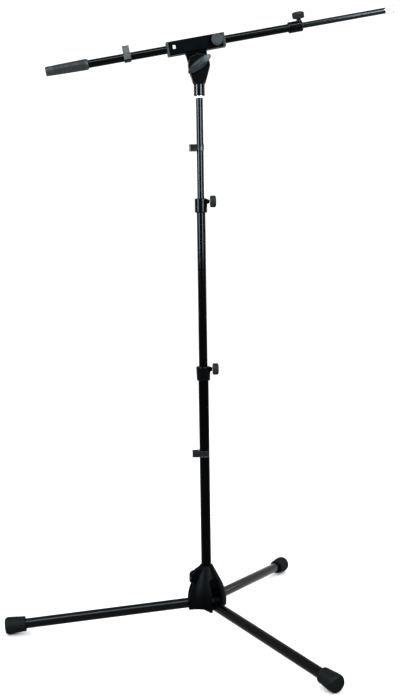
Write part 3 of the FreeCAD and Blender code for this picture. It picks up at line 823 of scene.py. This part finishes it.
def knob_piece(node, radius, thick, matrix, settings, ribs):
    """A moulded hand knob: dished face, ribbed rim and a neck with a metal-lined hole."""
    core = radius - 0.5
    profile = soften([(0, 7.2), (2.55, 7.2), (2.55, 0.6), (radius - 3.4, 0.6, 0.2),
                      (radius - 3.2, 0.0, 0.2), (core - 0.6, 0.0, 0.5), (core, 1.0, 0.5),
                      (core, thick - 1.7, 0.5), (core - 0.4, thick - 1.1, 0.4),
                      (radius * 0.74, thick - 0.25, 1.4), (radius * 0.62, thick - 0.1, 0.5),
                      (radius * 0.58, thick - 0.75, 0.4), (0.5, thick - 0.55, 0.4),
                      (0, thick - 0.55)])
    name = node + "_shown"
    piece = new_object(name, finish_mesh(lathe(profile, 72), name))
    ribs.grow(piece, count=settings.ribs, radius=(radius - 0.75) * MM,
              rib_radius=settings.rib_size / 2, rib_length=(thick - 3.2) * MM,
              height=(thick / 2 - 0.3) * MM, material=FINISHES[slot_of_node(node)])
    piece.data.transform(matrix)
    piece.data.set_sharp_from_angle(angle=math.radians(50))
    settle(piece, node)


def screw_piece(node, low, high, matrix, settings, thread):
    """A clutch screw with its thread, from its flat tip to its end inside the knob."""
    name = node + "_shown"
    core, ridge = 2.22, 0.28
    profile = soften([(0, low), (1.6, low), (core, low + 0.7), (core, high - 0.3),
                      (core - 0.3, high), (0, high)])
    piece = new_object(name, finish_mesh(lathe(profile, 40), name))
    run = high - low - 2.0
    thread.grow(piece, turns=run * MM / settings.screw_pitch, radius=core * MM,
                height=run * MM, start=(low + 1.0) * MM, ridge=ridge * MM,
                material=FINISHES[slot_of_node(node)])
    piece.data.transform(matrix)
    settle(piece, node)


class MICSTAND_OT_clutches(bpy.types.Operator):
    """Make the hand knobs, with their grip ribs, and their threaded screws"""
    bl_idname = "micstand.clutches"
    bl_label = "Clutch knobs"

    def execute(self, context):
        knobs, threads = context.scene.stand_knobs, context.scene.stand_threads
        ribs, thread = rib_ring_tree(), thread_tree()
        for name, joint, tube_r, start, radius in (
                ("lower_clutch", "turn_lower_clutch", MIDDLE_R, 18.4, KNOB_R),
                ("upper_clutch", "turn_upper_clutch", UPPER_R, 17.8, KNOB_R),
                ("boom_clutch", "turn_boom_clutch", INNER_R, 14.6, KNOB_R),
                ("boom_lock", "turn_boom_lock", BOOM_R, 15.4, LOCK_KNOB_R)):
            point = Vector(JOINTS[joint]["pos_m"])
            matrix = place(point, Vector(JOINTS[joint]["axis"]))
            lift = matrix @ Matrix.Translation((0, 0, start * MM))
            knob_piece(name + "_knob", radius, KNOB_THICK, lift, knobs, ribs)
            screw_piece(name + "_screw", tube_r + 2.2, start + 7.0, matrix, threads, thread)
        return {"FINISHED"}


def clip_mesh(name, tube_r, matrix):
    """A snap-on cable clip, swept from a strip with raised rims."""
    wall, half, width = 1.8, 7.5, 13.0
    inner = tube_r + 0.05
    middle, reach = inner + wall / 2, inner + 14.15 - wall / 2
    side = half - wall / 2
    rim, rise = width / 2, 0.4
    section = soften([(-wall / 2, -rim, 0.3), (wall / 2 + rise, -rim, 0.4),
                      (wall / 2 + rise, 1.5 - rim, 0.4), (wall / 2, 1.9 - rim, 0.2),
                      (wall / 2, rim - 1.9, 0.2), (wall / 2 + rise, rim - 1.5, 0.4),
                      (wall / 2 + rise, rim, 0.4), (-wall / 2, rim, 0.3)], 3)
    # the band is open for 52 degrees each side of the front
    open_from = math.radians(52)
    arc = [open_from + (math.tau - 2 * open_from) * k / 60 for k in range(61)]
    band = [Vector((middle * math.cos(a), middle * math.sin(a))) for a in arc]
    lip = (band[0] - band[2]).normalized()
    flare = [band[0] + lip * t + Vector((lip.y, -lip.x)) * -t * t * 0.22 for t in (2.2, 1.5, 0.8)]
    under = [Vector((p.x, -p.y)) for p in reversed(flare)]
    root = -(math.sqrt(middle ** 2 - side ** 2) + 0.25)
    loop = soften([(root, side), (-reach, side, 2.6), (-reach, -side, 2.6), (root, -side)], 8,
                  closed=False)
    bm = bmesh.new()
    swept(bm, flare + band + under, section)
    swept(bm, loop, section)
    bmesh.ops.recalc_face_normals(bm, faces=bm.faces)
    return finish_mesh(bm, name, matrix, 45.0)


class MICSTAND_OT_clips(bpy.types.Operator):
    """Sweep the cable clips on the pole and the boom"""
    bl_idname = "micstand.clips"
    bl_label = "Cable clips"

    def execute(self, context):
        leaned = BOOM_FRAME @ Matrix.Rotation(-BOOM_CLIP_LEAN, 4, "Z")
        for node, tube_r, matrix, along in (("lower_cable_clip", LOWER_R, POLE_FRAME, 354.2),
                                            ("upper_cable_clip", UPPER_R, POLE_FRAME, 951.0),
                                            ("boom_cable_clip", BOOM_R, leaned, -131.2)):
            lift = matrix @ Matrix.Translation((0, 0, along * MM))
            stand_for(node, clip_mesh(node, tube_r, lift))
        return {"FINISHED"}


class MICSTAND_OT_counterweight(bpy.types.Operator):
    """Turn and knurl the tapered counterweight"""
    bl_idname = "micstand.counterweight"
    bl_label = "Counterweight"

    def execute(self, context):
        settings = context.scene.stand_weight
        low, high, bore = -288.3, -206.2, 7.65
        sunk = settings.depth / MM
        profile = soften([(0, low + 0.8), (5.6, low + 0.8, 0.4), (6.2, low, 0.4), (8.1, low, 1.2),
                          (9.0, low + 1.8, 1.0), (9.15, low + 12.6, 0.4), (8.8, low + 13.2, 0.2),
                          (9.5 - sunk, low + 14.0, 0.2), (10.7 - sunk, high - 4.6, 0.2),
                          (10.7, high - 4.2, 0.5), (9.2, high, 0.6), (bore, high, 0.2),
                          (bore, -266.0), (0, -266.0)])
        name = "counterweight_shown"
        piece = new_object(name, finish_mesh(lathe(profile, 92), name))
        knurl_tree().grow(piece, columns=settings.columns, rows=settings.rows,
                          start_radius=(9.5 - sunk) * MM, end_radius=(10.7 - sunk) * MM,
                          length=(high - low - 19.2) * MM, start=(low + 14.4) * MM,
                          depth=settings.depth, material=FINISHES[slot_of_node("counterweight")])
        piece.data.transform(BOOM_FRAME)
        piece.data.set_sharp_from_angle(angle=math.radians(30))
        settle(piece, "counterweight")
        return {"FINISHED"}


class MICSTAND_OT_adaptor(bpy.types.Operator):
    """Cut the threaded microphone adaptor at the boom's end"""
    bl_idname = "micstand.adaptor"
    bl_label = "Microphone adaptor"

    def execute(self, context):
        low, high, core, bore = 373.6, 389.7, 7.45, 4.81
        profile = soften([(bore, low), (core - 0.2, low, 0.3), (core, low + 1.0, 0.3),
                          (core, high - 1.2, 0.3), (core - 0.7, high, 0.3), (bore, high, 0.3)])
        name = "mic_adaptor_shown"
        piece = new_object(name, finish_mesh(lathe(profile, 72), name))
        pitch = context.scene.stand_threads.adaptor_pitch
        run = (high - low - 2.4) * MM
        thread_tree().grow(piece, turns=run / pitch, radius=core * MM, height=run,
                           start=(low + 1.2) * MM, ridge=0.46 * MM,
                           material=FINISHES[slot_of_node("mic_adaptor")])
        piece.data.transform(BOOM_FRAME)
        settle(piece, "mic_adaptor")
        return {"FINISHED"}


CLASSES = [MICSTAND_OT_stage, MICSTAND_OT_finishes, MICSTAND_OT_tubes, MICSTAND_OT_castings,
           MICSTAND_OT_foot_caps, MICSTAND_OT_clutches, MICSTAND_OT_clips,
           MICSTAND_OT_counterweight, MICSTAND_OT_adaptor]


class MICSTAND_PT_panel(bpy.types.Panel):
    """The stand's pieces, in the order in which they are made"""
    bl_label = "Boom microphone stand"
    bl_idname = "MICSTAND_PT_panel"
    bl_space_type = "VIEW_3D"
    bl_region_type = "UI"
    bl_category = "Mic stand"

    def draw(self, context):
        for operator in CLASSES:
            self.layout.operator(operator.bl_idname)
        for name, group in GROUPS:
            box = self.layout.box()
            for key in group.__annotations__:
                box.prop(getattr(context.scene, name), key)


def register():
    for name, group in GROUPS:
        bpy.utils.register_class(group)
        setattr(bpy.types.Scene, name, PointerProperty(type=group))
    for operator in CLASSES:
        bpy.utils.register_class(operator)
    bpy.utils.register_class(MICSTAND_PT_panel)


def unregister():
    bpy.utils.unregister_class(MICSTAND_PT_panel)
    for operator in reversed(CLASSES):
        bpy.utils.unregister_class(operator)
    for name, group in reversed(GROUPS):
        delattr(bpy.types.Scene, name)
        bpy.utils.unregister_class(group)


def main():
    register()
    for operator in CLASSES:
        family, name = operator.bl_idname.split(".")
        getattr(getattr(bpy.ops, family), name)()


if __name__ == "__main__":
    main()
